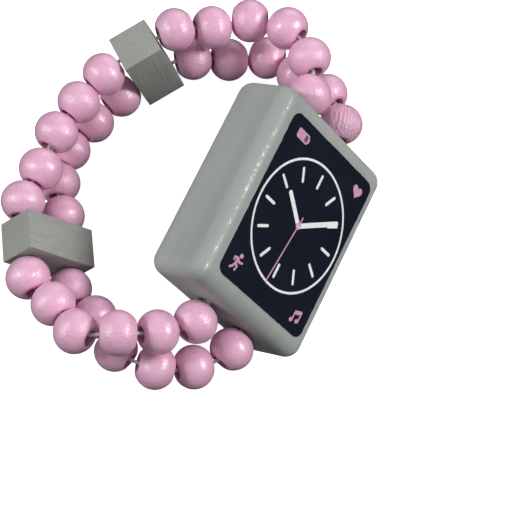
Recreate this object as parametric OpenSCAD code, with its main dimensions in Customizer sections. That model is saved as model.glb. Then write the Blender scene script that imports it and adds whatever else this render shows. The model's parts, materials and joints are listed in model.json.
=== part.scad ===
// Toy wristwatch: a painted wooden case on two strands of wooden beads strung on elastic.
// The case stands on a long edge and the band lies on its side, as on a table.
// Case axes: x to 3 o'clock, y to 12 o'clock, z out of the front dial, origin in the case's middle.

/* [Case] */
// Width of the case, from 9 to 3 o'clock
case_w = 35; // [31:1:40]
// Height of the case, from 6 to 12 o'clock, along its cord holes
case_h = 42; // [38:1:46]
// Thickness of the case, from one dial face to the other
case_t = 14; // [12:1:17]
// Radius of all the case's edges
case_edge_r = 3; // [2.5:0.5:4.5]
// Bore of the two cord holes that run through the case
case_bore = 3; // [2.6:0.1:3.4]
// Distance between the two cord holes of the case
case_hole_gap = 11; // [10:0.5:14]

/* [Dial films] */
// Thickness of the printed film on each face
film_t = 0.2; // [0.1:0.05:0.4]
// Corner radius of the film
film_corner_r = 2; // [1:0.5:5]
// Bare paint between the film and the start of the rounded edge
film_margin = 0.6; // [0:0.1:1.5]
// How far the front film and its print sit off the middle, towards 3 o'clock
film_aside = 0.4; // [0:0.1:0.6]
// Thickness of the printed marks
mark_t = 0.05; // [0.05:0.05:0.2]
// Radius of the clock ring, to the middle of its line
ring_r = 12.8; // [9:0.2:13]
// Width of the ring's line
ring_line = 0.35; // [0.3:0.05:0.9]
// Length of the hour marks
hour_mark_l = 3.1; // [2:0.1:5]
// Width of the hour marks
hour_mark_w = 0.6; // [0.4:0.05:1.2]
// Distance from the hour marks' outer ends to the ring
hour_mark_gap = 1.25; // [0.5:0.05:2.5]
// Length of the hour hand
hour_hand_l = 7.5; // [5:0.5:10]
// Length of the minute hand
minute_hand_l = 11.4; // [8:0.2:12]
// Width of the two hands
hand_w = 1; // [0.6:0.1:1.6]
// Length of the second hand
second_hand_l = 13; // [8:0.5:14]
// Width of the second hand
second_hand_w = 0.3; // [0.2:0.05:0.6]
// Hour that the hands show
shown_hour = 10; // [1:1:12]
// Minute that the hands show
shown_minute = 9; // [0:1:59]
// Second that the hands show
shown_second = 31; // [0:1:59]
// Size of the pictograms in the dial's corners
icon_size = 3.6; // [2:0.2:5]
// Distance of the pictograms' middles from the film's edges
icon_inset = 3.5; // [2.5:0.1:5]
// Height of the figures on the back
digit_h = 13.5; // [9:0.5:15]
// Width of one figure on the back
digit_w = 10.4; // [7:0.4:12]
// Width of the figures' upright strokes
digit_stroke = 4.1; // [3:0.1:4.4]
// Height of the figures' top and bottom bars
digit_bar = 2.6; // [2:0.1:3]
// Space between the figures on the back
digit_gap = 1.2; // [0.6:0.2:2]
// Line of the outlined figures on the back
outline_line = 0.5; // [0.3:0.1:0.8]

/* [Beads] */
// Diameter of a bead
bead_d = 8.2; // [7:0.2:9.6]
// Length of a bead along its bore
bead_l = 6.9; // [6:0.1:8]
// Bore of a bead
bead_bore = 2.8; // [2.4:0.1:3]
// Least clearance between neighbours on a strand
bead_gap = 0.1; // [0.05:0.01:0.2]
// Bead rows between the case's 6 o'clock side and the first block
rows_low = 6; // [5:1:7]
// Bead rows between the two blocks
rows_far = 5; // [4:1:6]
// Bead rows between the second block and the case's 12 o'clock side
rows_high = 6; // [5:1:7]

/* [Spacer blocks] */
// Length of a block along its cord holes
block_l = 8; // [6:0.5:10]
// Thickness of a block, from its inner to its outer face
block_t = 8; // [6:0.5:10]
// Width of a block, across the two strands
block_w = 16; // [14:0.5:20]
// Distance between a block's two cord holes
block_hole_gap = 10; // [9:0.5:12]
// Bore of a block's cord holes
block_bore = 2.8; // [2.4:0.1:3.2]

/* [Elastic] */
// Diameter of the elastic cord
cord_d = 0.8; // [0.6:0.1:1]
// Diameter of the knot that closes each cord, hidden in the case
knot_d = 2.2; // [1.4:0.1:2.3]
// Depth to which the cord's first stretch reaches into the case
cord_tuck = 9; // [6:0.5:12]

/* [Hidden] */
// Parts of the band: a row of two beads, a spacer block, and the case that closes the loop
BEAD = 0;
BLOCK = 1;
CASE = 2;

// Route of the band from the case's 6 o'clock side to its 12 o'clock side: towards 3 o'clock as a
// share of the band's reach, towards 12 o'clock as a share of the case's height, and out of the
// front dial as a share of the reach
route_shares = [
    [0, -0.62, 0],
    [-0.1, -0.74, -0.07],
    [-0.27, -0.84, -0.14],
    [-0.37, -0.87, -0.3],
    [-0.44, -0.78, -0.45],
    [-0.52, -0.7, -0.62],
    [-0.55, -0.54, -0.71],
    [-0.6, -0.39, -0.81],
    [-0.6, -0.2, -0.89],
    [-0.6, 0, -0.92],
    [-0.55, 0.34, -0.84],
    [-0.5, 0.49, -0.75],
    [-0.46, 0.62, -0.64],
    [-0.31, 0.73, -0.55],
    [-0.19, 0.84, -0.43],
    [-0.12, 0.82, -0.24],
    [-0.04, 0.73, -0.07],
    [-0.02, 0.61, 0.02],
];
// From the left cord to the right cord at the same points, as shares of the case's hole distance
pair_shares = [
    [1.05, 0.03, 0.03],
    [1.2, -0.05, -0.08],
    [1.2, -0.03, -0.08],
    [1.01, 0.19, 0],
    [0.9, 0.25, 0.07],
    [0.86, 0.27, 0.1],
    [0.89, 0.26, 0.06],
    [0.87, 0.23, 0.09],
    [0.77, 0.13, -0.37],
    [0.77, 0.07, -0.41],
    [0.85, 0.07, -0.34],
    [0.86, 0.05, -0.35],
    [0.94, 0, -0.31],
    [0.97, -0.06, -0.29],
    [1.02, -0.14, -0.26],
    [1, -0.35, -0.29],
    [0.96, -0.12, -0.15],
    [0.97, 0.02, 0.04],
];
// How far inside the case the route runs straight before it leaves, as a share of a bead
lead_share = 1.1;
// Angles that the tilt of the resting watch is searched between
tilt_low = 20;
tilt_high = 80;

// Overrun of every cut past the face that it opens
cut = 1;
// Facets of round parts, of the hull that rounds the case, and of small printed ends
round_fn = 64;
hull_fn = 32;
print_fn = 12;
// Sides of the elastic and rings along one bend of it
cord_sides = 8;
cord_rings = 5;

case_round = [case_w / 2 - case_edge_r, case_h / 2 - case_edge_r, case_t / 2 - case_edge_r];
film_w = case_w - 2 * case_edge_r - 2 * film_margin;
film_h = case_h - 2 * case_edge_r - 2 * film_margin;
bead_rim_r = sqrt(pow(bead_d / 2, 2) - pow(bead_l / 2, 2));

SIX = [0, -1, 0];
OUT = [0, 0, 1];

function unit(v) = v / norm(v);

// A smooth curve through a list of points, and its slope; whole values of u are the points
function spot(p, u) = min(max(floor(u), 0), len(p) - 4);
function curve(p, u) =
    let (i = spot(p, u), t = u - i, a = p[i], b = p[i + 1], c = p[i + 2], d = p[i + 3])
    (2 * b + (c - a) * t + (2 * a - 5 * b + 4 * c - d) * t * t + (3 * b - a - 3 * c + d) * t * t * t) / 2;
function slope(p, u) =
    let (i = spot(p, u), t = u - i, a = p[i], b = p[i + 1], c = p[i + 2], d = p[i + 3])
    (c - a + 2 * (2 * a - 5 * b + 4 * c - d) * t + 3 * (3 * b - a - 3 * c + d) * t * t) / 2;

// The middle line of the band for a given reach, run straight into the case at both ends
lead = lead_share * bead_d;
function middle(reach) = concat(
    [for (k = [1, 0]) (case_h / 2 - k * lead) * SIX],
    [for (share = route_shares) [reach * share[0], case_h * share[1], reach * share[2]]],
    [for (k = [0, 1, 2]) -(case_h / 2 - k * lead) * SIX]
);
pair = concat(
    [for (k = [1, 0]) [case_hole_gap, 0, 0]],
    [for (share = pair_shares) case_hole_gap * share],
    [for (k = [0, 1, 2]) [case_hole_gap, 0, 0]]
);

// How much more a bead turns towards its nearer neighbour
turn_share = 1.7;

// One place on the band: its kind, the left and right hole's middle and their two directions
function side_point(line, u, hand) = curve(line, u) + hand * curve(pair, u) / 2;
function side_dir(line, u, hand) =
    let (
        p = side_point(line, u, hand),
        back = p - side_point(line, u - 1, hand),
        ahead = side_point(line, u + 1, hand) - p
    )
    unit(back / pow(norm(back), turn_share) + ahead / pow(norm(ahead), turn_share));
function place_at(kind, line, u) =
    let (left = side_point(line, u, -1), right = side_point(line, u, 1))
    kind == BEAD
    ? [kind, left, right, side_dir(line, u, -1), side_dir(line, u, 1)]
    : let (m = (left + right) / 2, dm = slope(line, u), across = unit(right - left))
      let (along = unit(dm - (dm * across) * across))
      [kind, m - across * block_hole_gap / 2, m + across * block_hole_gap / 2, along, along];
case_place = [CASE, [-case_hole_gap / 2, 0, 0], [case_hole_gap / 2, 0, 0], SIX, SIX];

// How far a bead reaches from its middle in a direction
function bead_reach(dir, axis) =
    let (c = abs(dir * axis))
    c < bead_l / bead_d ? bead_d / 2 : bead_l / 2 * c + bead_rim_r * sqrt(max(0, 1 - c * c));
function half_length(kind) = kind == BLOCK ? block_l / 2 : case_h / 2;

// Clearance left between two neighbours on the left strand (side 1) or the right one (side 2)
function side_gap(a, b, side) =
    let (step = b[side] - a[side], da = a[side + 2], db = b[side + 2])
    a[0] == BEAD && b[0] == BEAD
    ? norm(step) - bead_reach(unit(step), da) - bead_reach(unit(step), db) - bead_gap
    : a[0] == BEAD
    ? step * db - half_length(b[0]) - bead_reach(db, da) - bead_gap
    : step * da - half_length(a[0]) - bead_reach(da, db) - bead_gap;
function gap_between(a, b) = min(side_gap(a, b, 1), side_gap(a, b, 2));

// The next place along the line, where it just clears the last one
solve_steps = 6;
first_shares = [0.8, 1.1];
function need(kind) = kind == BEAD ? bead_l / 2 : half_length(kind);
function next_u(last, u, kind, line) =
    let (
        from = u < 1 ? 1 : u,
        go = (need(last[0] == CASE ? BEAD : last[0]) + need(kind)) / norm(slope(line, from)),
        start = last[0] == CASE ? 1 : u,
        u0 = start + first_shares[0] * go,
        u1 = start + first_shares[1] * go
    )
    settle(last, kind, line, u0, gap_between(last, place_at(kind, line, u0)), u1, solve_steps);
function settle(last, kind, line, u0, gap0, u1, steps) =
    let (gap1 = gap_between(last, place_at(kind, line, u1)), u2 = u1 - gap1 * (u1 - u0) / (gap1 - gap0))
    steps == 0 || abs(gap1 - gap0) < bead_gap * 1e-6 ? u1
    : settle(last, kind, line, u1, gap1, u2, steps - 1);

// Beads and blocks strung one after the other from the case's 6 o'clock side
kinds = concat(
    [for (i = [1:rows_low]) BEAD], [BLOCK],
    [for (i = [1:rows_far]) BEAD], [BLOCK],
    [for (i = [1:rows_high]) BEAD]
);
function strung(line, k = 0, last = case_place, u = 0) =
    k == len(kinds) ? []
    : let (v = next_u(last, u, kinds[k], line), here = place_at(kinds[k], line, v))
      concat([here], strung(line, k + 1, here, v));

// The reach at which the last row just clears the case's 12 o'clock side
function end_gap(reach) =
    let (row = strung(middle(reach)))
    gap_between(row[len(row) - 1], case_place);
function solve_reach(r0, gap0, r1, steps) =
    let (gap1 = end_gap(r1), r2 = r1 - gap1 * (r1 - r0) / (gap1 - gap0))
    steps == 0 || abs(gap1 - gap0) < bead_gap * 1e-6 ? r1 : solve_reach(r1, gap1, r2, steps - 1);
guess_shares = [0.62, 1.17, 1.03];
strung_length = (len(kinds) - 2) * (bead_d + bead_l) / 2 + 2 * block_l;
guess = guess_shares[0] * strung_length - guess_shares[1] * case_h;
reach = solve_reach(guess, end_gap(guess), guess * guess_shares[2], solve_steps);
places = strung(middle(reach));

// Directions from one side of a row or block to the other, and the middle of both holes
function across_of(place) = unit(place[2] - place[1]);
function middle_of(place) = (place[1] + place[2]) / 2;

// How far the case, the band and the whole watch reach in a direction
function case_reach(dir) = case_round * [for (c = dir) abs(c)] + case_edge_r;
function place_reach(place, dir) =
    let (along = place[3], across = across_of(place), face = cross(across, along))
    place[0] == BLOCK
    ? middle_of(place) * dir
      + (abs(across * dir) * block_w + abs(along * dir) * block_l + abs(face * dir) * block_t) / 2
    : max([for (side = [1, 2]) place[side] * dir + bead_reach(dir, place[side + 2])]);
function band_reach(dir) = max([for (place = places) place_reach(place, dir)]);
function watch_reach(dir) = max(case_reach(dir), band_reach(dir));

// The watch lies where its case and its band reach equally far down
function down_at(tilt) = [sin(tilt), 0, -cos(tilt)];
tilt_steps = 30;
function find_tilt(low, high, steps) =
    let (tilt = (low + high) / 2, down = down_at(tilt), band_lower = band_reach(down) > case_reach(down))
    steps == 0 ? tilt : find_tilt(band_lower ? tilt : low, band_lower ? high : tilt, steps - 1);
tilt = find_tilt(tilt_low, tilt_high, tilt_steps);
quarter = 90;

// The middle of the watch's underside, in the turned frame, becomes the origin
right_dir = -SIX;
back_dir = [-cos(tilt), 0, -sin(tilt)];
mid_right = (watch_reach(right_dir) - watch_reach(-right_dir)) / 2;
mid_back = (watch_reach(back_dir) - watch_reach(-back_dir)) / 2;
lift = watch_reach(down_at(tilt));

module at_rest() {
    translate([-mid_right, -mid_back, lift])
        rotate([tilt, 0, 0])
            rotate([0, 0, -quarter])
                children();
}

// Children with their z along a direction, or with their x and y along two directions
module along_line(p, dir) {
    translate(p)
        rotate([0, acos(dir[2]), atan2(dir[1], dir[0])])
            children();
}
module in_axes(p, x, y) {
    z = cross(x, y);
    multmatrix([
        [x[0], y[0], z[0], p[0]],
        [x[1], y[1], z[1], p[1]],
        [x[2], y[2], z[2], p[2]],
        [0, 0, 0, 1]
    ])
        children();
}

// Stations along the elastic: the case, every row and block, and the case again
stations = concat([case_place], places, [case_place]);
last_station = len(stations) - 1;
row_count = len(kinds) - 2;
function station_of(row) =
    row <= rows_low ? row : row <= rows_low + rows_far ? row + 1 : row + 2;
block_stations = [rows_low + 1, rows_low + rows_far + 2];
far_station = rows_low + 1 + ceil(rows_far / 2);

// Each stretch between two stations belongs to the row farther from the case, never to a block
function owner_of(stretch) =
    let (far = stretch < far_station ? stretch + 1 : stretch)
    stations[far][0] != BLOCK ? far : stretch < far_station ? stretch : stretch + 1;

// Where the elastic runs straight in a block or the case, and how strongly it holds its direction
mouth_share = 0.9;
pull_share = 1.3;
case_core = case_h / 2 - cord_tuck;
function cord_stops(station, side, way) =
    let (
        s = stations[station],
        p = s[side],
        dir = s[side + 2],
        next = stations[station + way],
        face = p + way * half_length(s[0]) * dir,
        off = face - next[side] - ((face - next[side]) * next[side + 2]) * next[side + 2],
        play = (s[0] == CASE ? case_bore : block_bore) / 2 - cord_d,
        aside = norm(off) > 0 ? -unit(off) * min(play, norm(off)) : 0 * off,
        inner = [p + way * (s[0] == CASE ? case_core : 0) * dir, dir, across_of(s)],
        mouth = [p + way * mouth_share * half_length(s[0]) * dir + aside, dir, across_of(s)]
    )
    s[0] == BEAD ? [[p, dir, across_of(s)]] : way > 0 ? [inner, mouth] : [mouth, inner];

// A point and a direction on the curve between two stops
function stop_point(a, b, t) =
    let (pull = pull_share * norm(b[0] - a[0]), s = 1 - t)
    s * s * (1 + 2 * t) * a[0] + t * s * s * pull * a[1] - t * t * s * pull * b[1] + t * t * (3 - 2 * t) * b[0];
function stop_slope(a, b, t) =
    let (pull = pull_share * norm(b[0] - a[0]), s = 1 - t)
    unit(6 * t * s * (b[0] - a[0]) + s * (1 - 3 * t) * pull * a[1] + t * (3 * t - 2) * pull * b[1]);

// One ring of the elastic's surface, turned alike all along the band
function cord_ring(p, dir, across) =
    let (u = unit(across - (across * dir) * dir), v = cross(dir, u))
    [for (k = [0:cord_sides - 1])
        let (a = 4 * quarter * k / cord_sides) p + cord_d / 2 * (cos(a) * u + sin(a) * v)];
function tube_faces(rings) = concat(
    [[for (k = [0:cord_sides - 1]) k]],
    [for (i = [0:rings - 2]) for (k = [0:cord_sides - 1])
        let (a = i * cord_sides + k, b = i * cord_sides + (k + 1) % cord_sides)
        [a, a + cord_sides, b]],
    [for (i = [0:rings - 2]) for (k = [0:cord_sides - 1])
        let (a = i * cord_sides + k, b = i * cord_sides + (k + 1) % cord_sides)
        [b, a + cord_sides, b + cord_sides]],
    [[for (k = [cord_sides - 1:-1:0]) (rings - 1) * cord_sides + k]]
);

// One unbroken cord on one side, through neighbouring stretches
module cord_run(stretches, side) {
    stops = concat(
        cord_stops(stretches[0], side, 1),
        [for (stretch = stretches) each cord_stops(stretch + 1, side, -1)]
    );
    marks = [for (i = [0:len(stops) - 2])
        for (k = [i == 0 ? 0 : 1:cord_rings - 1]) [i, k / (cord_rings - 1)]];
    rings = [for (m = marks)
        let (a = stops[m[0]], b = stops[m[0] + 1], t = m[1])
        cord_ring(stop_point(a, b, t), stop_slope(a, b, t), (1 - t) * a[2] + t * b[2])];
    polyhedron(points = [for (ring = rings) for (p = ring) p], faces = tube_faces(len(rings)));
}

module case_solid() {
    difference() {
        hull() {
            for (x = [-1, 1], y = [-1, 1], z = [-1, 1])
                translate([x * case_round[0], y * case_round[1], z * case_round[2]])
                    sphere(r = case_edge_r, $fn = hull_fn);
            cube([case_w, 2 * case_round[1], 2 * case_round[2]], center = true);
            cube([2 * case_round[0], case_h, 2 * case_round[2]], center = true);
            cube([2 * case_round[0], 2 * case_round[1], case_t], center = true);
        }
        for (side = [-1, 1])
            translate([side * case_hole_gap / 2, 0, 0])
                rotate([quarter, 0, 0])
                    cylinder(h = case_h + 2 * cut, d = case_bore, center = true, $fn = round_fn);
    }
}

// A plate with round corners, lying on z = 0
module plate(w, h, r) {
    hull()
        for (x = [-1, 1], y = [-1, 1])
            translate([x * (w / 2 - r), y * (h / 2 - r)])
                circle(r = r, $fn = hull_fn);
}
module film() {
    linear_extrude(film_t)
        plate(film_w, film_h, film_corner_r);
}

// A bar with round ends, from one point to another
module bar(from, to, w) {
    hull() {
        translate(from)
            circle(d = w, $fn = print_fn);
        translate(to)
            circle(d = w, $fn = print_fn);
    }
}
// A hand or mark that points at a place on a dial of so many steps
module pointing(value, steps) {
    rotate([0, 0, -4 * quarter * value / steps])
        children();
}

// Pictograms on a square of side 1, drawn as bars: x and y of both ends, and the width
runner_shares = [
    [0.15, 0.44, 0.17, 0.45, 0.25],
    [0, 0.22, -0.03, -0.05, 0.19],
    [0.04, 0.2, 0.22, 0.09, 0.12],
    [0.22, 0.09, 0.42, 0.15, 0.12],
    [-0.04, 0.25, -0.26, 0.19, 0.12],
    [-0.26, 0.19, -0.25, 0.05, 0.12],
    [-0.02, -0.06, 0.16, -0.16, 0.14],
    [0.16, -0.16, 0.1, -0.38, 0.13],
    [-0.03, -0.06, -0.15, -0.27, 0.14],
    [-0.15, -0.27, -0.32, -0.41, 0.13],
];
note_shares = [
    [-0.33, -0.36, -0.29, -0.33, 0.24],
    [0.14, -0.25, 0.18, -0.22, 0.24],
    [-0.22, -0.33, -0.22, 0.18, 0.1],
    [0.27, -0.22, 0.27, 0.34, 0.1],
    [-0.16, 0.14, 0.21, 0.27, 0.22],
];
heart_shares = [0.2, 0.1, 0.42, -0.29, 0.16];
battery_shares = [0.95, 0.52, 0.22, 0.26, 0.07, 0.3];
battery_place_shares = [0.26, 0.09];

module strokes(table) {
    for (s = table)
        bar(icon_size * [s[0], s[1]], icon_size * [s[2], s[3]], icon_size * s[4]);
}
module heart() {
    h = icon_size * heart_shares;
    for (side = [-1, 1])
        hull() {
            translate([side * h[0], h[1]])
                circle(d = h[2], $fn = print_fn);
            translate([0, h[3]])
                circle(d = h[4], $fn = print_fn);
        }
}
module battery() {
    b = icon_size * battery_shares;
    difference() {
        square([b[0], b[1]], center = true);
        translate([b[0] / 2 - b[4] - b[2], 0])
            square([b[2], b[5]], center = true);
    }
    translate([b[0] / 2, 0])
        square([b[4], b[3]], center = true);
}

icon_x = film_w / 2 - icon_inset;
icon_y = film_h / 2 - icon_inset;
minute_value = shown_minute + shown_second / 60;
hour_value = shown_hour + minute_value / 60;
module front_print() {
    linear_extrude(mark_t) {
        difference() {
            circle(r = ring_r + ring_line / 2, $fn = round_fn);
            circle(r = ring_r - ring_line / 2, $fn = round_fn);
        }
        outer = ring_r - ring_line / 2 - hour_mark_gap - hour_mark_w / 2;
        for (hour = [1:12])
            pointing(hour, 12)
                bar([0, outer - hour_mark_l + hour_mark_w], [0, outer], hour_mark_w);
        pointing(hour_value, 12)
            bar([0, 0], [0, hour_hand_l - hand_w / 2], hand_w);
        pointing(minute_value, 60)
            bar([0, 0], [0, minute_hand_l - hand_w / 2], hand_w);
        pointing(shown_second, 60)
            bar([0, -2 * hand_w], [0, second_hand_l - second_hand_w / 2], second_hand_w);
        translate([-icon_x, icon_y] + icon_size * battery_place_shares)
            battery();
        translate([icon_x, icon_y])
            heart();
        translate([-icon_x, -icon_y])
            strokes(runner_shares);
        translate([icon_x, -icon_y])
            strokes(note_shares);
    }
}

// Figures on the back, each in a cell of its own, drawn around the cell's middle
digit_r = digit_w / 3;
slot_w = digit_w - 2 * digit_stroke;
slot_h = digit_h - 2 * digit_bar;
module figure_0() {
    difference() {
        plate(digit_w, digit_h, digit_r);
        plate(slot_w, slot_h, slot_w / 3);
    }
}
module figure_1() {
    flag = digit_stroke / 2;
    translate([digit_w / 2 - digit_stroke / 2, 0])
        square([digit_stroke, digit_h], center = true);
    translate([digit_w / 2 - digit_stroke, digit_h / 2])
        polygon([[0, 0], [0, -digit_bar - flag], [-flag, -digit_bar], [-flag, -flag / 2]]);
}
module figure_9() {
    eye_h = (digit_h - 3 * digit_bar) / 2;
    difference() {
        plate(digit_w, digit_h, digit_r);
        for (side = [-1, 1])
            translate([0, side * (eye_h + digit_bar) / 2])
                plate(slot_w, eye_h, slot_w / 3);
        translate([-digit_w / 2 - cut, -digit_bar / 2 - outline_line])
            square([digit_w / 2 + cut, outline_line]);
    }
}
module outlined() {
    difference() {
        children();
        offset(delta = -outline_line)
            children();
    }
}
module back_print() {
    x = (digit_w + digit_gap) / 2;
    y = (digit_h + digit_gap) / 2;
    linear_extrude(mark_t) {
        translate([-x, y])
            figure_1();
        translate([x, y])
            figure_0();
        translate([-x, -y])
            outlined()
                figure_0();
        translate([x, -y])
            outlined()
                figure_9();
    }
}

module bead() {
    difference() {
        intersection() {
            sphere(d = bead_d, $fn = round_fn);
            cube([bead_d + cut, bead_d + cut, bead_l], center = true);
        }
        cylinder(h = bead_l + 2 * cut, d = bead_bore, center = true, $fn = round_fn);
    }
}
module block_solid() {
    difference() {
        cube([block_w, block_l, block_t], center = true);
        for (side = [-1, 1])
            translate([side * block_hole_gap / 2, 0, 0])
                rotate([quarter, 0, 0])
                    cylinder(h = block_l + 2 * cut, d = block_bore, center = true, $fn = round_fn);
    }
}

module case() {
    color("darkseagreen") at_rest()
        case_solid();
}
module front_dial() {
    color("midnightblue") at_rest()
        translate([film_aside, 0, case_t / 2])
            film();
}
module back_dial() {
    color("midnightblue") at_rest()
        translate([0, 0, -case_t / 2 - film_t])
            film();
}
module front_marks() {
    color("white") at_rest()
        translate([film_aside, 0, case_t / 2 + film_t])
            front_print();
}
module back_marks() {
    color("pink") at_rest()
        rotate([0, 2 * quarter, 0])
            translate([0, 0, case_t / 2 + film_t])
                back_print();
}
// The cords' hidden stretch in the case, each with the knot that closes it
module elastic_in_case() {
    color("whitesmoke") at_rest()
        for (side = [1, 2])
            translate(case_place[side]) {
                rotate([quarter, 0, 0])
                    cylinder(h = 2 * case_core, d = cord_d, center = true, $fn = cord_sides);
                sphere(d = knot_d, $fn = round_fn);
            }
}
// Both cords, over all stretches that a row carries
module elastic_of(row) {
    stretches = [for (stretch = [0:last_station - 1])
        if (owner_of(stretch) == station_of(row)) stretch];
    color("whitesmoke") at_rest()
        for (side = [1, 2])
            cord_run(stretches, side);
}
module block_at(station) {
    place = stations[station];
    color("darkseagreen") at_rest()
        in_axes(middle_of(place), across_of(place), place[3])
            block_solid();
}
module bead_at(station, side) {
    place = stations[station];
    color("plum") at_rest()
        along_line(place[side], place[side + 2])
            bead();
}

case();
front_dial();
back_dial();
front_marks();
back_marks();
elastic_in_case();
for (row = [1:row_count]) {
    elastic_of(row);
    bead_at(station_of(row), 1);
    bead_at(station_of(row), 2);
}
for (k = [1, 2])
    block_at(block_stations[k - 1]);
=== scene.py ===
"""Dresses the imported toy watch: painted wooden case, printed dial films, turned beads, spacer blocks,
elastic, and a plain studio round them."""

import json
import math
import random

import bmesh
import bpy
from mathutils import Matrix, Vector


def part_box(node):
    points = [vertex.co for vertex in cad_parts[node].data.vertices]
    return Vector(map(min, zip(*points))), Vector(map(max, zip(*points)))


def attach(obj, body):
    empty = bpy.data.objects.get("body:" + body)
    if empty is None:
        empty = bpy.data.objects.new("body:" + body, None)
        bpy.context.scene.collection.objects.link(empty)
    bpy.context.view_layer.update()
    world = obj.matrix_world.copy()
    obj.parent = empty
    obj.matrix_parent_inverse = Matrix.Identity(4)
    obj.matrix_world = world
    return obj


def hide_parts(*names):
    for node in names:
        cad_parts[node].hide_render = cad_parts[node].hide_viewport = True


bl_info = {
    "name": "Toy Watch",
    "version": (1, 0, 0),
    "blender": (4, 5, 0),
    "location": "3D View > Sidebar > Toy Watch",
    "description": "Builds the looks of a wooden toy watch round its fixed frame",
    "category": "Object",
}

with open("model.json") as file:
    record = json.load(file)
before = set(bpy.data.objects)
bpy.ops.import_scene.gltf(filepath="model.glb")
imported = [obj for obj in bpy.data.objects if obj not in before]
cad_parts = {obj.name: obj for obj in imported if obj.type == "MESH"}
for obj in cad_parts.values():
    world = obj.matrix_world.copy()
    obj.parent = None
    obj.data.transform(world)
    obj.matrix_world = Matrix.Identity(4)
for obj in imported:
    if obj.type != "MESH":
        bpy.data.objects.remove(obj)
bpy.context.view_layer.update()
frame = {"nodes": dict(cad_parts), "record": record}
RECORD = frame["record"]
NODES = frame["nodes"]
JOINTS = {joint["name"]: joint for joint in RECORD["behaviour"]["joints"]}
BODY_OF = {n: body for body, nodes in RECORD["behaviour"]["bodies"].items() for n in nodes}
MM = 0.001


def corners(node, to_local=None):
    """Every vertex of a CAD node, in the shared frame or in a local one."""
    part = NODES[node]
    turn = (to_local or Matrix.Identity(4)) @ part.matrix_world
    return [turn @ v.co for v in part.data.vertices]


def extent(points, axis):
    """Lowest and highest coordinate of the points along one axis."""
    along = [p[axis] for p in points]
    return min(along), max(along)


def axes_at(place, x, y, z):
    """A transform whose columns are three directions, at a place."""
    turn = Matrix((x, y, z)).transposed().to_4x4()
    turn.translation = place
    return turn


def case_frame():
    """The case's own frame: x to 3 o'clock, y to 12 o'clock, z out of the front dial."""
    low, high = (Vector(c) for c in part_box("case"))
    back = next(m for m in RECORD["mounts"] if m["name"] == "back_face")
    dial = -Vector(back["axis"]).normalized()
    twelve = Vector((1, 0, 0))
    return axes_at((low + high) / 2, twelve.cross(dial), twelve, dial)


CASE = case_frame()
TO_CASE = CASE.inverted()
CASE_SIZE = [2 * extent(corners("case", TO_CASE), axis)[1] for axis in range(3)]
FILM_ENDS = [extent(corners("front_dial", TO_CASE), axis) for axis in range(3)]
FILM_SIZE = [high - low for low, high in FILM_ENDS[:2]]
FILM_Z = FILM_ENDS[2]
FRONT = CASE @ Matrix.Translation([(low + high) / 2 for low, high in FILM_ENDS[:2]] + [0])
BACK = CASE @ Matrix.Rotation(math.pi, 4, "Y")
MARK_Z = extent(corners("front_marks", TO_CASE), 2)


def paint(red, green, blue):
    """A display colour from 0 to 255 as the linear colour that shaders take."""
    shown = (red / 255, green / 255, blue / 255)
    return (*[c / 12.92 if c <= 0.04045 else ((c + 0.055) / 1.055) ** 2.4 for c in shown], 1.0)


# Named sizes and colours


def length(name, description, default):
    return bpy.props.FloatProperty(
        name=name, description=description, default=default, unit="LENGTH", precision=5
    )


def colour(name, description, default):
    return bpy.props.FloatVectorProperty(
        name=name, description=description, default=default, size=4, subtype="COLOR", min=0, max=1
    )


def amount(name, description, default, top=1.0):
    return bpy.props.FloatProperty(
        name=name, description=description, default=default, min=0, max=top, subtype="FACTOR"
    )


def angle(name, description, default):
    return bpy.props.FloatProperty(
        name=name, description=description, default=math.radians(default), subtype="ANGLE"
    )


def power(name, description, default):
    return bpy.props.FloatProperty(name=name, description=description, default=default, unit="POWER")


class CaseLook(bpy.types.PropertyGroup):
    colour: colour("Paint", "Grey green paint of the case", paint(164, 170, 167))
    # Near-white colour of the painted highlight speckled along the case's long edges, not real wear.
    painted_glint: colour("Glinting edge", "Paint where the edges are rubbed", paint(246, 248, 245))
    edge: length("Edge radius", "Radius of the case's edges", 3.0 * MM)
    bore: length("Cord hole", "Diameter of the cord holes", 3.0 * MM)
    hole_gap: length("Hole distance", "Distance between the two cord holes", 11.0 * MM)
    gloss: amount("Roughness", "Roughness of the paint", 0.56)


class DialLook(bpy.types.PropertyGroup):
    film: colour("Film", "Navy ground of the dials", paint(19, 24, 37))
    white: colour("White print", "Ring, marks and hands", paint(250, 252, 254))
    pink: colour("Pink print", "Pictograms and second hand", paint(214, 160, 192))
    pale: colour("Pale print", "Figures on the back", paint(243, 214, 228))
    corner: length("Corner radius", "Corner radius of the film", 1.9 * MM)
    ragged: length("Cut edge", "How far the cut edge of the film wanders", 0.09 * MM)
    ring: length("Ring radius", "Radius of the clock ring", 12.8 * MM)
    ring_line: length("Ring line", "Width of the ring's line", 0.46 * MM)
    mark_length: length("Mark length", "Length of the hour marks", 3.1 * MM)
    mark_width: length("Mark width", "Width of the hour marks", 0.6 * MM)
    mark_gap: length("Mark gap", "Distance from the marks to the ring", 1.25 * MM)
    hour_length: length("Hour hand", "Length of the hour hand", 7.5 * MM)
    minute_length: length("Minute hand", "Length of the minute hand", 11.4 * MM)
    hand_width: length("Hand width", "Width of the hour and minute hands", 1.0 * MM)
    second_length: length("Second hand", "Length of the second hand", 13.0 * MM)
    second_width: length("Second hand width", "Width of the second hand", 0.3 * MM)
    hub: length("Hub", "Radius of the second hand's ring", 0.7 * MM)
    battery_length: length("Battery length", "Length of the battery pictogram's body", 3.55 * MM)
    battery_height: length("Battery height", "Height of the battery pictogram's body", 1.95 * MM)
    battery_corner: length("Battery corner", "Corner radius of the battery pictogram", 0.35 * MM)
    heart_width: length("Heart width", "Width of the heart pictogram", 2.95 * MM)
    heart_height: length("Heart height", "Height of the heart pictogram", 2.6 * MM)
    cell: colour("Cell", "Grey cell of the battery pictogram", paint(86, 80, 94))


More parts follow.
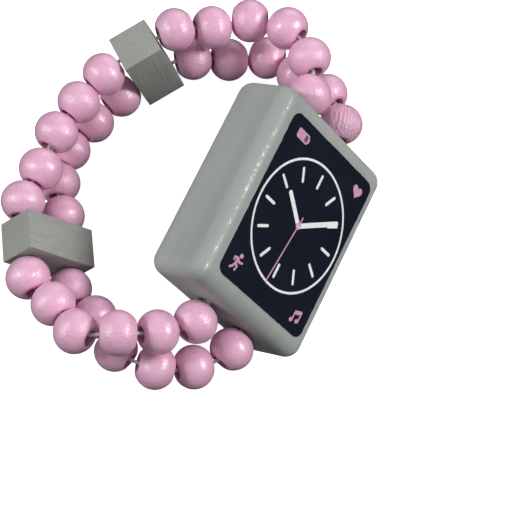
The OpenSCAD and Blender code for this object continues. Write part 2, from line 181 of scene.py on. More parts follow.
class BeadLook(bpy.types.PropertyGroup):
    colour: colour("Paint", "Pink paint of the beads", paint(241, 183, 214))
    wood: colour("Bare wood", "Bare wood inside the bores", paint(206, 138, 168))
    size: length("Diameter", "Diameter of a bead at its widest ring, paint included", 8.55 * MM)
    flat: length("End", "Diameter of the flat ring at a bead's end", 4.4 * MM)
    long: length("Length", "Length of a bead along its bore", 6.9 * MM)
    bore: length("Bore", "Diameter of a bead's bore", 3.0 * MM)
    rim: length("Rim", "Rounding of the rim and of the bore's mouth", 0.14 * MM)
    gloss: amount("Roughness", "Roughness of the paint", 0.42)
    shine: amount("Shine", "Strength of the varnish over the paint", 0.9)
    grain: amount("Grain", "How much of the grain shows through the paint", 0.4)


class BlockLook(bpy.types.PropertyGroup):
    colour: colour("Paint", "Grey green paint of the blocks", paint(158, 160, 155))
    edge: length("Edge", "Rounding of the blocks' edges", 0.22 * MM)
    gloss: amount("Roughness", "Roughness of the paint", 0.55)


class ElasticLook(bpy.types.PropertyGroup):
    colour: colour("Elastic", "Clear elastic", paint(246, 244, 243))
    gloss: amount("Roughness", "Roughness of the elastic", 0.3)


class StageLook(bpy.types.PropertyGroup):
    floor: colour("Floor", "Colour of the floor", (1.0, 1.0, 1.0, 1.0))
    lift: amount("Shadow lift", "How much the floor's shadows are softened", 0.85)
    sky: amount("Sky", "Strength of the even light", 0.2, 4.0)
    bounce: amount("Bounce", "How much light the floor throws back at the watch", 0.08)
    left: power("Left", "Power of the left softbox", 1.65)
    right: power("Right", "Power of the right softbox", 3.0)
    low: power("Low", "Power of each low light at the sides", 1.8)
    front: power("Front", "Power of the light over the camera", 0.9)
    left_box: length("Left softbox", "Side of the left softbox", 0.14)
    right_box: length("Right softbox", "Side of the right softbox", 0.2)
    front_box: length("Front softbox", "Side of the light over the camera and of the low lights", 0.6)
    cool: colour("Cool light", "Colour of the left softbox", (0.965, 1.0, 0.99, 1.0))
    warm: colour("Warm light", "Colour of the other lights", (1.0, 0.985, 0.98, 1.0))
    azimuth: angle("Azimuth", "Direction that the camera looks from, round the dial", -67.155)
    elevation: angle("Elevation", "Height of the camera above the dial's plane", 42.618)
    roll: angle("Roll", "Roll of the camera", 100.500)
    distance: length("Distance", "Distance from the camera to its aim", 393.33 * MM)
    aim: bpy.props.FloatVectorProperty(
        name="Aim",
        description="Where the camera aims, in the case's own frame",
        default=(2.617 * MM, -7.356 * MM, -0.483 * MM),
        subtype="TRANSLATION",
        unit="LENGTH",
    )
    lens: bpy.props.FloatProperty(name="Lens", description="Focal length", default=142.39, unit="CAMERA")


LOOKS = {
    "case": CaseLook,
    "dial": DialLook,
    "beads": BeadLook,
    "blocks": BlockLook,
    "elastic": ElasticLook,
    "stage": StageLook,
}


class ToyWatchLook(bpy.types.PropertyGroup):
    case: bpy.props.PointerProperty(name="Case", description="Case", type=CaseLook)
    dial: bpy.props.PointerProperty(name="Dial", description="Dial films and prints", type=DialLook)
    beads: bpy.props.PointerProperty(name="Beads", description="Beads", type=BeadLook)
    blocks: bpy.props.PointerProperty(name="Blocks", description="Spacer blocks", type=BlockLook)
    elastic: bpy.props.PointerProperty(name="Elastic", description="Elastic cords", type=ElasticLook)
    stage: bpy.props.PointerProperty(name="Stage", description="Floor, lights and camera", type=StageLook)


# Shader building


def shade(tree, kind, sockets=None, **settings):
    """Adds a shader node; a socket takes a value or another node's output."""
    made = tree.nodes.new(kind)
    for name, value in settings.items():
        setattr(made, name, value)
    for name, value in (sockets or {}).items():
        if isinstance(value, bpy.types.NodeSocket):
            tree.links.new(value, made.inputs[name])
        else:
            made.inputs[name].default_value = value
    return made


def finish_of(name):
    """A new material with its tree, its surface shader and its object coordinates."""
    material = bpy.data.materials.new(name)
    material.use_nodes = True
    tree = material.node_tree
    surface = tree.nodes["Principled BSDF"]
    place = shade(tree, "ShaderNodeTexCoord").outputs["Object"]
    return material, tree, surface, place


def stretched(tree, place, scale, offset=None):
    """The coordinates scaled along each axis, and moved by an attribute's vector if one is named."""
    where = shade(tree, "ShaderNodeVectorMath", {0: place, 1: scale}, operation="MULTIPLY").outputs[0]
    if offset:
        seed = shade(tree, "ShaderNodeAttribute", attribute_name=offset).outputs["Vector"]
        where = shade(tree, "ShaderNodeVectorMath", {0: where, 1: seed}, operation="ADD").outputs[0]
    return where


def speckle(tree, where, scale, detail=2.0, rough=0.5):
    return shade(
        tree, "ShaderNodeTexNoise", {"Vector": where, "Scale": scale, "Detail": detail, "Roughness": rough}
    ).outputs["Fac"]


def ramp(tree, value, low, high, bottom=0.0, top=1.0):
    """Maps a value from one range to another, clamped."""
    return shade(
        tree,
        "ShaderNodeMapRange",
        {"Value": value, "From Min": low, "From Max": high, "To Min": bottom, "To Max": top},
        clamp=True,
    ).outputs["Result"]


def math_of(tree, operation, a, b):
    return shade(tree, "ShaderNodeMath", {0: a, 1: b}, operation=operation).outputs[0]


def mixed(tree, share, a, b):
    """Mixes two colours, each a value or an output."""
    made = shade(tree, "ShaderNodeMix", data_type="RGBA")
    for place, value in ((0, share), (6, a), (7, b)):
        if isinstance(value, bpy.types.NodeSocket):
            tree.links.new(value, made.inputs[place])
        else:
            made.inputs[place].default_value = value
    return made.outputs[2]


def bumped(tree, height, strength, distance):
    return shade(
        tree, "ShaderNodeBump", {"Height": height, "Strength": strength, "Distance": distance}
    ).outputs["Normal"]


def darker(base, share):
    return (*[c * share for c in base[:3]], 1.0)


def case_paint(look):
    """Satin paint on a solid case: long faint grain, an orange-peel skin and a painted highlight of
    near-white speckles along the rounding of the long edges.
    """
    material, tree, surface, place = finish_of("case_paint")
    base = tuple(look.colour)
    streaks = speckle(tree, stretched(tree, place, (260, 18, 260)), 1.0, 3.0)
    blotches = speckle(tree, stretched(tree, place, (70, 40, 70)), 1.0, 2.0)
    mottled = math_of(
        tree, "ADD", ramp(tree, streaks, 0.3, 0.7, 0, 0.6), ramp(tree, blotches, 0.3, 0.7, 0, 0.4)
    )
    coat = mixed(tree, mottled, darker(base, 0.87), darker(base, 1.08))

    x, _, z = shade(tree, "ShaderNodeSeparateXYZ", {0: place}).outputs
    # Painted highlight: a speckled near-white line on the rounding of the long edges, placed where the
    # lights' highlight falls on the edge.
    edge = look.edge
    line_x, line_z = CASE_SIZE[0] / 2 - 0.6 * edge, CASE_SIZE[2] / 2 - 0.075 * edge
    off_side = math_of(tree, "SUBTRACT", math_of(tree, "ABSOLUTE", x, 0.0), line_x)
    off_face = math_of(tree, "SUBTRACT", math_of(tree, "ABSOLUTE", z, 0.0), line_z)
    off_line = shade(tree, "ShaderNodeCombineXYZ", {0: off_side, 1: off_face}).outputs[0]
    reach = shade(tree, "ShaderNodeVectorMath", {0: off_line}, operation="LENGTH").outputs["Value"]
    near_line = ramp(tree, reach, 0.14 * edge, 0.05 * edge)
    glint_speckle = ramp(tree, speckle(tree, stretched(tree, place, (1, 0.5, 1)), 3000, 3.0, 0.7), 0.47, 0.58)
    glint_patches = ramp(tree, speckle(tree, place, 330, 2.0), 0.4, 0.56)
    glinting = math_of(tree, "MULTIPLY", near_line, math_of(tree, "MULTIPLY", glint_speckle, glint_patches))
    # Paints the highlight colour over the case paint wherever the painted highlight's mask is set.
    tree.links.new(mixed(tree, glinting, coat, tuple(look.painted_glint)), surface.inputs["Base Color"])

    skin = speckle(tree, place, 1500, 2.0)
    fibres = speckle(tree, stretched(tree, place, (2400, 120, 2400)), 1.0, 3.0)
    height = math_of(
        tree, "ADD", math_of(tree, "MULTIPLY", skin, 0.35), math_of(tree, "MULTIPLY", fibres, 0.65)
    )
    tree.links.new(bumped(tree, height, 0.35, 0.06 * MM), surface.inputs["Normal"])
    rough = ramp(tree, blotches, 0.3, 0.7, look.gloss - 0.05, look.gloss + 0.07)
    tree.links.new(rough, surface.inputs["Roughness"])
    return material


def bead_paint(look):
    """Pink varnished paint on a turned bead: ridges and ribs along the bore, bare wood in the bore."""
    material, tree, surface, place = finish_of("bead_paint")
    base = tuple(look.colour)
    ridges = speckle(tree, stretched(tree, place, (3600, 3600, 900), "seed"), 1.0, 3.0, 0.6)
    clouds = speckle(tree, stretched(tree, place, (260, 260, 160), "seed"), 1.0, 2.0)
    coat = mixed(tree, ramp(tree, clouds, 0.3, 0.7), darker(base, 0.95), darker(base, 1.04))
    ribs = speckle(tree, stretched(tree, place, (2000, 2000, 130), "seed"), 1.0, 2.0, 0.5)
    strength = shade(tree, "ShaderNodeAttribute", attribute_name="grain").outputs["Fac"]
    ribbed = ramp(tree, strength, 0.7, 1.0, 0.2, 1.35)
    crest = math_of(tree, "MULTIPLY", ramp(tree, ridges, 0.56, 0.72), strength)
    coat = mixed(tree, math_of(tree, "MULTIPLY", crest, 0.35), coat, paint(245, 214, 230))

    flat = shade(tree, "ShaderNodeVectorMath", {0: place, 1: (1, 1, 0)}, operation="MULTIPLY").outputs[0]
    radius = shade(tree, "ShaderNodeVectorMath", {0: flat}, operation="LENGTH").outputs["Value"]
    inside = ramp(tree, radius, look.bore / 2 + 0.2 * MM, look.bore / 2 + 0.04 * MM)
    tree.links.new(mixed(tree, inside, coat, tuple(look.wood)), surface.inputs["Base Color"])

    skin = speckle(tree, stretched(tree, place, (900, 900, 700), "seed"), 1.0, 2.0)
    fine = math_of(tree, "MULTIPLY", math_of(tree, "MULTIPLY", ridges, strength), 0.7)
    height = math_of(tree, "ADD", fine, math_of(tree, "MULTIPLY", skin, 0.2))
    height = math_of(tree, "ADD", height, math_of(tree, "MULTIPLY", ribs, ribbed))
    relief = bumped(tree, height, 0.9, 0.3 * MM)
    tree.links.new(relief, surface.inputs["Normal"])
    tree.links.new(relief, surface.inputs["Coat Normal"])
    rough = ramp(tree, clouds, 0.3, 0.7, look.gloss - 0.06, look.gloss + 0.08)
    tree.links.new(rough, surface.inputs["Roughness"])
    surface.inputs["Coat Weight"].default_value = look.shine
    surface.inputs["Coat Roughness"].default_value = 0.27
    surface.inputs["Coat IOR"].default_value = 1.75
    return material


def block_paint(look):
    """Matt paint on a sawn block, with fine saw and grain lines."""
    material, tree, surface, place = finish_of("block_paint")
    base = tuple(look.colour)
    lines = speckle(tree, stretched(tree, place, (160, 2600, 2600), "seed"), 1.0, 3.0)
    clouds = speckle(tree, stretched(tree, place, (150, 220, 220), "seed"), 1.0, 2.0)
    coat = mixed(tree, ramp(tree, clouds, 0.3, 0.7), darker(base, 0.94), darker(base, 1.05))
    coat = mixed(tree, ramp(tree, lines, 0.5, 0.66, 0, 0.5), coat, darker(base, 0.74))
    tree.links.new(coat, surface.inputs["Base Color"])
    tree.links.new(bumped(tree, lines, 0.8, 0.1 * MM), surface.inputs["Normal"])
    surface.inputs["Roughness"].default_value = look.gloss
    return material


def film_finish(look):
    """Navy film with faint dust and a soft sheen."""
    material, tree, surface, place = finish_of("navy_film")
    base = tuple(look.film)
    dust = ramp(tree, speckle(tree, place, 5200, 2.0, 0.7), 0.68, 0.82, 0, 0.1)
    clouds = speckle(tree, place, 120, 3.0)
    ground = mixed(tree, ramp(tree, clouds, 0.3, 0.7), darker(base, 0.85), darker(base, 1.25))
    tree.links.new(mixed(tree, dust, ground, paint(120, 124, 136)), surface.inputs["Base Color"])
    tree.links.new(ramp(tree, clouds, 0.3, 0.7, 0.6, 0.7), surface.inputs["Roughness"])
    tree.links.new(bumped(tree, speckle(tree, place, 2600, 2.0), 0.2, 0.03 * MM), surface.inputs["Normal"])
    surface.inputs["Specular IOR Level"].default_value = 0.08
    return material


def print_finish(name, ink):
    """Screen printed ink: nearly even, slightly thin in places."""
    material, tree, surface, place = finish_of(name)
    thin = ramp(tree, speckle(tree, place, 1700, 3.0, 0.6), 0.35, 0.65)
    tree.links.new(mixed(tree, thin, darker(ink, 0.9), ink), surface.inputs["Base Color"])
    tree.links.new(bumped(tree, speckle(tree, place, 4000, 2.0), 0.3, 0.02 * MM), surface.inputs["Normal"])
    surface.inputs["Roughness"].default_value = 0.55
    return material


def elastic_finish(look):
    """Clear elastic, slightly milky."""
    material, tree, surface, place = finish_of("clear_elastic")
    base = tuple(look.colour)
    milk = speckle(tree, place, 900, 2.0)
    cord = mixed(tree, ramp(tree, milk, 0.35, 0.65), darker(base, 0.9), base)
    tree.links.new(cord, surface.inputs["Base Color"])
    tree.links.new(bumped(tree, speckle(tree, place, 3000, 2.0), 0.2, 0.03 * MM), surface.inputs["Normal"])
    surface.inputs["Roughness"].default_value = look.gloss
    surface.inputs["Transmission Weight"].default_value = 0.3
    return material


# Mesh building


def piece(name, mesh, place, material, body, slot, *nodes):
    """Puts a mesh in the scene at a place, on a body, in place of CAD nodes."""
    made = bpy.data.objects.new(name, mesh)
    bpy.context.collection.objects.link(made)
    made.matrix_world = place
    mesh.materials.clear()
    mesh.materials.append(material)
    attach(made, body)
    if nodes:
        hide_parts(*nodes)
    return made


def mesh_of(bm, name, smooth=True):
    bm.normal_update()
    mesh = bpy.data.meshes.new(name)
    bm.to_mesh(mesh)
    bm.free()
    for face in mesh.polygons:
        face.use_smooth = smooth
    return mesh


def spread(mesh, name, kind, value):
    """Stores one value on every vertex, for the material to read."""
    layer = mesh.attributes.new(name, kind, "POINT")
    count = len(mesh.vertices)
    if kind == "FLOAT":
        layer.data.foreach_set("value", [value] * count)
    else:
        layer.data.foreach_set("vector", list(value) * count)


def applied(made):
    """Applies all modifiers of a piece."""
    graph = bpy.context.evaluated_depsgraph_get()
    mesh = bpy.data.meshes.new_from_object(made.evaluated_get(graph))
    made.modifiers.clear()
    made.data = mesh


def slab(bm, outline, low, high):
    """A flat prism over a convex outline."""
    bottom = [bm.verts.new((x, y, low)) for x, y in outline]
    top = [bm.verts.new((x, y, high)) for x, y in outline]
    count = len(outline)
    bm.faces.new(top)
    bm.faces.new(bottom[::-1])
    for k in range(count):
        n = (k + 1) % count
        bm.faces.new((bottom[k], bottom[n], top[n], top[k]))


def hoop(bm, radius, line, low, high, sides=160):
    """A flat ring."""
    inner, outer = radius - line / 2, radius + line / 2
    loops = [
        [bm.verts.new((r * math.cos(a), r * math.sin(a), z)) for a in turns(sides)]
        for r, z in ((inner, low), (outer, low), (outer, high), (inner, high))
    ]
    for k in range(4):
        a, b = loops[k], loops[(k + 1) % 4]
        for i in range(sides):
            n = (i + 1) % sides
            bm.faces.new((a[i], a[n], b[n], b[i]))


def turns(sides):
    return [2 * math.pi * k / sides for k in range(sides)]


def bar_outline(start, end, width, ends=10):
    """The outline of a bar with round ends."""
    start, end = Vector(start), Vector(end)
    along = (end - start).normalized()
    lean = math.atan2(along.y, along.x)
    points = []
    for centre, first in ((end, -math.pi / 2), (start, math.pi / 2)):
        for k in range(ends + 1):
            a = lean + first + math.pi * k / ends
            points.append((centre.x + width / 2 * math.cos(a), centre.y + width / 2 * math.sin(a)))
    return points


def clock(share, radius):
    """A point on the dial, at a share of a full turn clockwise from 12."""
    a = 2 * math.pi * share
    return radius * math.sin(a), radius * math.cos(a)


def rounded_outline(width, height, radius, step):
    """Points along a rounded rectangle, about one step apart, with their outward directions."""
    points = []
    for cx, cy, first in ((1, 1, 0), (-1, 1, 90), (-1, -1, 180), (1, -1, 270)):
        middle = Vector((cx * (width / 2 - radius), cy * (height / 2 - radius)))
        count = max(6, int(radius * math.pi / 2 / step))
        for k in range(count + 1):
            a = math.radians(first + 90 * k / count)
            out = Vector((math.cos(a), math.sin(a)))
            points.append((middle + radius * out, out))
    dense = []
    for k, (p, out) in enumerate(points):
        q, after = points[(k + 1) % len(points)]
        dense.append((p, out))
        for i in range(1, int((q - p).length / step)):
            share = i * step / (q - p).length
            dense.append((p.lerp(q, share), out.lerp(after, share).normalized()))
    return dense


# Operators


class PieceOperator(bpy.types.Operator):
    bl_options = {"REGISTER"}

    @property
    def look(self):
        return getattr(bpy.context.scene.toy_watch, self.part)


class TOY_WATCH_OT_case(PieceOperator):
    """Builds the rounded case with its two cord holes"""

    bl_idname = "toy_watch.case"
    bl_label = "Case"
    part = "case"

    def execute(self, context):
        look = self.look
        bm = bmesh.new()
        bmesh.ops.create_cube(bm, size=1)
        bmesh.ops.scale(bm, vec=CASE_SIZE, verts=bm.verts)
        bmesh.ops.bevel(
            bm,
            geom=bm.edges[:],
            offset=look.edge,
            offset_type="OFFSET",
            segments=14,
            profile=0.5,
            affect="EDGES",
        )
        mesh = mesh_of(bm, "painted_case")
        made = piece("painted_case", mesh, CASE, case_paint(look), BODY_OF["case"], "grey_paint", "case")
        cutter_bm = bmesh.new()
        along_case = Matrix.Rotation(math.pi / 2, 4, "X")
        for side in (-1, 1):
            bmesh.ops.create_cone(
                cutter_bm,
                cap_ends=True,
                segments=48,
                radius1=look.bore / 2,
                radius2=look.bore / 2,
                depth=CASE_SIZE[1] * 1.2,
                matrix=Matrix.Translation((side * look.hole_gap / 2, 0, 0)) @ along_case,
            )
        cutter = bpy.data.objects.new("hole_cutter", mesh_of(cutter_bm, "hole_cutter"))
        context.collection.objects.link(cutter)
        cutter.matrix_world = CASE
        cut = made.modifiers.new("holes", "BOOLEAN")
        cut.object = cutter
        cut.solver = "EXACT"
        context.view_layer.update()
        applied(made)
        bpy.data.objects.remove(cutter)
        made.data.set_sharp_from_angle(angle=math.radians(40))
        return {"FINISHED"}


class TOY_WATCH_OT_films(PieceOperator):
    """Lays the navy films on both faces of the case"""

    bl_idname = "toy_watch.films"
    bl_label = "Dial films"
    part = "dial"

    def execute(self, context):
        look = self.look
        material = film_finish(look)
        for node, name, place in (("front_dial", "front_film", FRONT), ("back_dial", "back_film", BACK)):
            chance = random.Random(name)
            drift, outline = 0.0, []
            for point, out in rounded_outline(*FILM_SIZE, look.corner, 0.22 * MM):
                drift = 0.72 * drift + 0.55 * chance.uniform(-1, 1)
                inward = look.ragged * (0.8 + 0.6 * max(-1, min(1, drift)))
                outline.append(tuple(point - out * inward))
            bm = bmesh.new()
            slab(bm, outline, FILM_Z[0], FILM_Z[1])
            piece(name, mesh_of(bm, name, False), place, material, BODY_OF[node], "navy_film", node)
        return {"FINISHED"}


class TOY_WATCH_OT_prints(PieceOperator):
    """Prints the clock, the pictograms and the figures"""

    bl_idname = "toy_watch.prints"
    bl_label = "Prints"
    part = "dial"
    hour, minute, second = 10, 9, 31
    layers = 20
    battery_middle = Vector((-9.46 * MM, 14.22 * MM))
    heart_middle = Vector((10.4 * MM, 13.8 * MM))

    def execute(self, context):
        look = self.look
        self.white_print(look, *MARK_Z)
        self.pink_print(look, *MARK_Z)
        self.battery_cell(look, *MARK_Z)
        self.figures_print(look)
        return {"FINISHED"}

    def white_print(self, look, low, high):
        """The ring, the hour marks and the hour and minute hands, each a little above the last."""
        layer = (high - low) / self.layers
        bm = bmesh.new()
        hoop(bm, look.ring, look.ring_line, low, high - 2 * layer)
        outer = look.ring - look.ring_line / 2 - look.mark_gap - look.mark_width / 2
        inner = outer - look.mark_length + look.mark_width
        for k in range(12):
            mark = bar_outline(clock(k / 12, outer), clock(k / 12, inner), look.mark_width)
            slab(bm, mark, low, high - layer)
        minute = (self.minute + self.second / 60) / 60
        hour = (self.hour + minute) / 12
        tip = look.hour_length - look.hand_width / 2
        slab(bm, bar_outline(clock(hour, 0), clock(hour, tip), look.hand_width), low, high)
        tip = look.minute_length - look.hand_width / 2
        slab(bm, bar_outline(clock(minute, 0), clock(minute, tip), look.hand_width), low, high + layer)
        mesh, white = mesh_of(bm, "white_print", False), print_finish("white_ink", tuple(look.white))
        piece("white_print", mesh, FRONT, white, BODY_OF["front_marks"], "white_print", "front_marks")

    def pink_print(self, look, low, high):
        """The second hand and the pictograms; the two lower ones are the source's."""
        layer = (high - low) / self.layers
        bm = bmesh.new()
        bm.from_mesh(NODES["front_marks"].data)
        to_front = FRONT.inverted() @ NODES["front_marks"].matrix_world
        bmesh.ops.transform(bm, matrix=to_front, verts=bm.verts)
        bmesh.ops.remove_doubles(bm, verts=bm.verts, dist=0.002 * MM)
        others = [v for v in bm.verts if not self.in_lower_corner(v.co)]
        bmesh.ops.delete(bm, geom=others, context="VERTS")
        second = self.second / 60
        tail = clock(second + 0.5, 1.9 * look.hand_width)
        tip = clock(second, look.second_length - look.second_width / 2)
        slab(bm, bar_outline(tail, tip, look.second_width), low, high + 2 * layer)
        hoop(bm, look.hub - look.second_width / 2, look.second_width, low, high + 3 * layer, 40)
        self.battery(bm, look, low, high)
        slab(bm, self.heart(self.heart_middle, look.heart_width, look.heart_height), low, high)
        mesh, pink = mesh_of(bm, "pink_print", False), print_finish("pink_ink", tuple(look.pink))
        piece("pink_print", mesh, FRONT, pink, BODY_OF["front_marks"], "pink_print")

    def battery(self, bm, look, low, high):
        """The battery pictogram: a body with round corners and a nub towards 3 o'clock."""
        body = rounded_outline(look.battery_length, look.battery_height, look.battery_corner, MM)
        slab(bm, [self.battery_middle + p for p, out in body], low, high)
        nub = rounded_outline(0.18 * look.battery_length, 0.5 * look.battery_height, 0.1 * MM, MM)
        side = self.battery_middle + Vector((look.battery_length / 2, 0))
        slab(bm, [side + p for p, out in nub], low, high - (high - low) / self.layers)

    def battery_cell(self, look, low, high):
        """The grey cell inside the battery."""
        layer = (high - low) / self.layers
        bm = bmesh.new()
        place = self.battery_middle + Vector((0.29 * look.battery_length, 0))
        cell = rounded_outline(0.24 * look.battery_length, 0.66 * look.battery_height, 0.06 * MM, MM)
        slab(bm, [place + p for p, out in cell], high - layer, high + layer)
        mesh, grey = mesh_of(bm, "battery_cell", False), print_finish("grey_ink", tuple(look.cell))
        piece("battery_cell", mesh, FRONT, grey, BODY_OF["front_marks"], "white_print")

    def figures_print(self, look):
        """The figures on the back, in the source's own shapes."""
        bm = bmesh.new()
        bm.from_mesh(NODES["back_marks"].data)
        bmesh.ops.transform(bm, matrix=TO_CASE @ NODES["back_marks"].matrix_world, verts=bm.verts)
        mesh, pale = mesh_of(bm, "figures_print", False), print_finish("pale_ink", tuple(look.pale))
        piece("figures_print", mesh, CASE, pale, BODY_OF["back_marks"], "pink_print", "back_marks")

    @staticmethod
    def in_lower_corner(p):
        """Tells whether a point of the print belongs to one of the two lower pictograms."""
        return abs(p.x) > 0.25 * FILM_SIZE[0] and p.y < -0.33 * FILM_SIZE[1]

    @staticmethod
    def heart(place, width, height):
        """Points around a heart with round lobes, its tip down."""
        points = []
        for a in turns(48):
            across = math.sin(a) ** 3
            up = (13 * math.cos(a) - 5 * math.cos(2 * a) - 2 * math.cos(3 * a) - math.cos(4 * a)) / 14.5
            points.append(place + Vector((across * width / 2, (up + 0.17) * height / 2)))
        return points


class TOY_WATCH_OT_beads(PieceOperator):
    """Turns the beads, each with its own grain"""

    bl_idname = "toy_watch.beads"
    bl_label = "Beads"
    part = "beads"
    sides = 56
    ribbed_bead = "bead_right_17"

    def profile(self, look):
        """Half a bead's outline as radius and height, from the bore's middle out to the widest ring."""
        half, bore, ball, flat, rim = look.long / 2, look.bore / 2, look.size / 2, look.flat / 2, look.rim
        steps, rings = 5, 18
        points = [(bore, 0.0), (bore, (half - rim) / 2)]
        for k in range(steps + 1):
            a = math.pi / 2 * k / steps
            points.append((bore + rim * (1 - math.cos(a)), half - rim + rim * math.sin(a)))
        lean = math.acos(flat / ball)
        tall = half / math.sin(lean)
        leans = [lean * (1 - k / rings) for k in range(rings + 1)]
        turned = [(ball * math.cos(a), tall * math.sin(a)) for a in leans]
        for k in range(1, steps):
            share = k / steps
            before = Vector((flat - rim, half)).lerp(turned[0], share)
            points.append(tuple(before.lerp(Vector(turned[0]).lerp(turned[1], share), share)))
        points.extend(turned[1:])
        return points

    def execute(self, context):
        look = self.look
        half = self.profile(look)
        outline = half + [(r, -z) for r, z in half[-2:0:-1]]
        material = bead_paint(look)
        names = sorted(n for n in NODES if n.startswith("bead_"))
        for k, node in enumerate(names):
            chance = random.Random(100 + k)
            bm = bmesh.new()
            squash = chance.uniform(0.994, 1.0)
            stretch = chance.uniform(0.994, 1.0)
            loops = [
                [
                    bm.verts.new((r * squash * math.cos(a), r * squash * math.sin(a), z * stretch))
                    for a in turns(self.sides)
                ]
                for r, z in outline
            ]
            for i, loop in enumerate(loops):
                other = loops[(i + 1) % len(loops)]
                for j in range(self.sides):
                    n = (j + 1) % self.sides
                    bm.faces.new((loop[j], loop[n], other[n], other[j]))
            bmesh.ops.recalc_face_normals(bm, faces=bm.faces)
            mesh = mesh_of(bm, f"turned_{node}")
            grain = look.grain * chance.uniform(0.8, 1.6)
            spread(mesh, "grain", "FLOAT", 1.0 if node == self.ribbed_bead else grain)
            spread(mesh, "seed", "FLOAT_VECTOR", [chance.uniform(0, 90) for _ in range(3)])
            joint = JOINTS[f"{node}_spin"]
            bore = Vector(joint["axis"]).normalized()
            side = bore.orthogonal().normalized()
            place = axes_at(Vector(joint["pos_m"]), side, bore.cross(side), bore)
            place = place @ Matrix.Rotation(chance.uniform(0, 6.28), 4, "Z")
            piece(f"turned_{node}", mesh, place, material, BODY_OF[node], "pink_paint", node)
        return {"FINISHED"}


class TOY_WATCH_OT_blocks(PieceOperator):
    """Saws the two spacer blocks"""

    bl_idname = "toy_watch.blocks"
    bl_label = "Spacer blocks"
    part = "blocks"

    @staticmethod
    def block_frame(node):
        """The block's own frame, with x along its width, from its face directions and its corners."""
        points = corners(node)
        part = NODES[node]
        found = []
        for face in sorted(part.data.polygons, key=lambda f: -f.area):
            way = (part.matrix_world.to_3x3() @ face.normal).normalized()
            if all(abs(way.dot(other)) < 0.05 for other in found):
                found.append(way)
            if len(found) == 3:
                break

        def span(way):
            reach = [p.dot(way) for p in points]
            return max(reach) - min(reach), (max(reach) + min(reach)) / 2

        found.sort(key=lambda way: -span(way)[0])
        x, y = found[0], found[1]
        z = x.cross(y)
        middle = sum((way * span(way)[1] for way in (x, y, z)), Vector())
        return axes_at(middle, x, y, z)

    def execute(self, context):
        look = self.look
        material = block_paint(look)
        for k, node in enumerate(("block_1", "block_2")):
            place = self.block_frame(node)
            bm = bmesh.new()
            bm.from_mesh(NODES[node].data)
            bmesh.ops.transform(bm, matrix=place.inverted() @ NODES[node].matrix_world, verts=bm.verts)
            bmesh.ops.remove_doubles(bm, verts=bm.verts, dist=0.001 * MM)
            bmesh.ops.dissolve_limit(bm, angle_limit=0.01, verts=bm.verts, edges=bm.edges)
            mesh = mesh_of(bm, f"sawn_{node}")
            spread(mesh, "seed", "FLOAT_VECTOR", (17.0 * k, 5.0, 9.0 * k))
            made = piece(f"sawn_{node}", mesh, place, material, BODY_OF[node], "grey_block_paint", node)
            soften = made.modifiers.new("edges", "BEVEL")
            soften.width = look.edge
            soften.segments = 3
            soften.limit_method = "ANGLE"
            soften.angle_limit = math.radians(50)
            context.view_layer.update()
            applied(made)
            made.data.set_sharp_from_angle(angle=math.radians(25))
        return {"FINISHED"}


class TOY_WATCH_OT_elastic(PieceOperator):
    """Rounds the elastic cords"""

    bl_idname = "toy_watch.elastic"
    bl_label = "Elastic"
    part = "elastic"

    def execute(self, context):
        material = elastic_finish(self.look)
        for node in sorted(n for n in NODES if n.startswith("elastic_")):
            bm = bmesh.new()
            bm.from_mesh(NODES[node].data)
            bmesh.ops.transform(bm, matrix=NODES[node].matrix_world, verts=bm.verts)
            bmesh.ops.remove_doubles(bm, verts=bm.verts, dist=0.002 * MM)
            mesh, place = mesh_of(bm, f"round_{node}"), Matrix.Identity(4)
            made = piece(f"round_{node}", mesh, place, material, BODY_OF[node], "clear_elastic", node)
            rounder = made.modifiers.new("round", "SUBSURF")
            rounder.levels = rounder.render_levels = 1
            context.view_layer.update()
            applied(made)
        return {"FINISHED"}


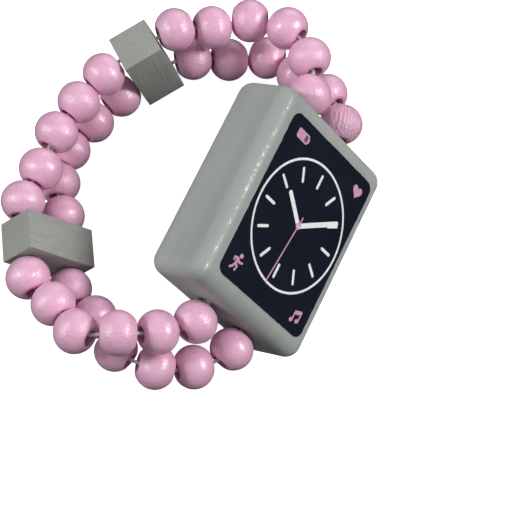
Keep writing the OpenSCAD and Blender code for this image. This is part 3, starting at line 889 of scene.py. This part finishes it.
class TOY_WATCH_OT_stage(PieceOperator):
    """Sets up the floor, the lights and the camera"""

    bl_idname = "toy_watch.stage"
    bl_label = "Stage"
    part = "stage"
    left_way, right_way = (-152.0, 38.0), (29.0, 42.1)
    low_way, back_way = (100.0, 6.0), (200.0, 6.0)
    near, far = 0.7, 0.8
    beside_camera = Vector((0.26, 0, 0.3))

    def floor(self, look):
        bm = bmesh.new()
        bmesh.ops.create_grid(bm, x_segments=1, y_segments=1, size=2.0)
        floor = bpy.data.objects.new("floor", mesh_of(bm, "floor", False))
        bpy.context.collection.objects.link(floor)
        material, tree, surface, _ = finish_of("pale_floor")
        seen = shade(tree, "ShaderNodeLightPath").outputs
        direct = math_of(tree, "MAXIMUM", seen["Is Camera Ray"], seen["Is Transmission Ray"])
        thrown = (look.bounce, look.bounce, look.bounce, 1)
        tree.links.new(mixed(tree, direct, thrown, tuple(look.floor)), surface.inputs["Base Color"])
        tree.links.new(math_of(tree, "MULTIPLY", direct, look.lift), surface.inputs["Emission Strength"])
        surface.inputs["Emission Color"].default_value = tuple(look.floor)
        surface.inputs["Roughness"].default_value = 1.0
        surface.inputs["Specular IOR Level"].default_value = 0.0
        floor.data.materials.append(material)

    @staticmethod
    def toward(azimuth, elevation):
        """The direction to a place round the watch."""
        a, e = math.radians(azimuth), math.radians(elevation)
        return Vector((math.sin(a) * math.cos(e), -math.cos(a) * math.cos(e), math.sin(e)))

    @staticmethod
    def lamp(name, power, side, tint, way, distance):
        """A square softbox that faces the watch."""
        data = bpy.data.lights.new(name, "AREA")
        data.shape, data.size, data.energy, data.color = "SQUARE", side, power, tuple(tint)[:3]
        lamp = bpy.data.objects.new(name, data)
        bpy.context.collection.objects.link(lamp)
        lamp.location = CASE.translation + way * distance
        lamp.rotation_mode = "QUATERNION"
        lamp.rotation_quaternion = (-way).to_track_quat("-Z", "Y")

    def execute(self, context):
        look = self.look
        self.floor(look)
        world = bpy.data.worlds.new("studio")
        world.use_nodes = True
        back = world.node_tree.nodes["Background"]
        seen = shade(world.node_tree, "ShaderNodeLightPath").outputs["Is Camera Ray"]
        world.node_tree.links.new(ramp(world.node_tree, seen, 0, 1, look.sky, 1.0), back.inputs["Strength"])
        back.inputs["Color"].default_value = tuple(look.warm)
        context.scene.world = world
        context.scene.view_settings.view_transform = "Standard"

        data = bpy.data.cameras.new("camera")
        camera = bpy.data.objects.new("camera", data)
        context.collection.objects.link(camera)
        data.sensor_width, data.lens = 36.0, look.lens
        data.clip_start, data.clip_end = 0.01, 10.0
        camera.matrix_world = (
            CASE
            @ Matrix.Translation(look.aim)
            @ Matrix.Rotation(look.azimuth, 4, "Z")
            @ Matrix.Rotation(math.pi / 2 - look.elevation, 4, "X")
            @ Matrix.Rotation(look.roll, 4, "Z")
            @ Matrix.Translation((0, 0, look.distance))
        )
        context.scene.camera = camera

        over = (camera.matrix_world.translation - CASE.translation).normalized() + self.beside_camera
        for name, strength, side, tint, way, distance in (
            ("left_softbox", look.left, look.left_box, look.cool, self.toward(*self.left_way), self.near),
            ("right_softbox", look.right, look.right_box, look.warm, self.toward(*self.right_way), self.near),
            ("low_softbox", look.low, look.front_box, look.warm, self.toward(*self.low_way), self.far),
            ("back_softbox", look.low, look.front_box, look.warm, self.toward(*self.back_way), self.far),
            ("front_softbox", look.front, look.front_box, look.warm, over.normalized(), self.far),
        ):
            self.lamp(name, strength, side, tint, way, distance)
        return {"FINISHED"}


class TOY_WATCH_PT_sidebar(bpy.types.Panel):
    bl_idname = "TOY_WATCH_PT_sidebar"
    bl_label = "Toy Watch"
    bl_space_type = "VIEW_3D"
    bl_region_type = "UI"
    bl_category = "Toy Watch"

    def draw(self, context):
        for step in STEPS:
            self.layout.operator(step.bl_idname)
        for part, group in LOOKS.items():
            box = self.layout.box()
            box.label(text=part.capitalize())
            for name in group.__annotations__:
                box.prop(getattr(context.scene.toy_watch, part), name)


STEPS = (
    TOY_WATCH_OT_case,
    TOY_WATCH_OT_films,
    TOY_WATCH_OT_prints,
    TOY_WATCH_OT_beads,
    TOY_WATCH_OT_blocks,
    TOY_WATCH_OT_elastic,
    TOY_WATCH_OT_stage,
)
CLASSES = (*LOOKS.values(), ToyWatchLook, *STEPS, TOY_WATCH_PT_sidebar)


def register():
    for made in CLASSES:
        bpy.utils.register_class(made)
    bpy.types.Scene.toy_watch = bpy.props.PointerProperty(
        name="Toy watch", description="Looks", type=ToyWatchLook
    )


def unregister():
    del bpy.types.Scene.toy_watch
    for made in reversed(CLASSES):
        bpy.utils.unregister_class(made)


def main():
    register()
    for step in STEPS:
        family, name = step.bl_idname.split(".")
        getattr(getattr(bpy.ops, family), name)()
    bpy.context.view_layer.update()


if __name__ == "__main__":
    main()
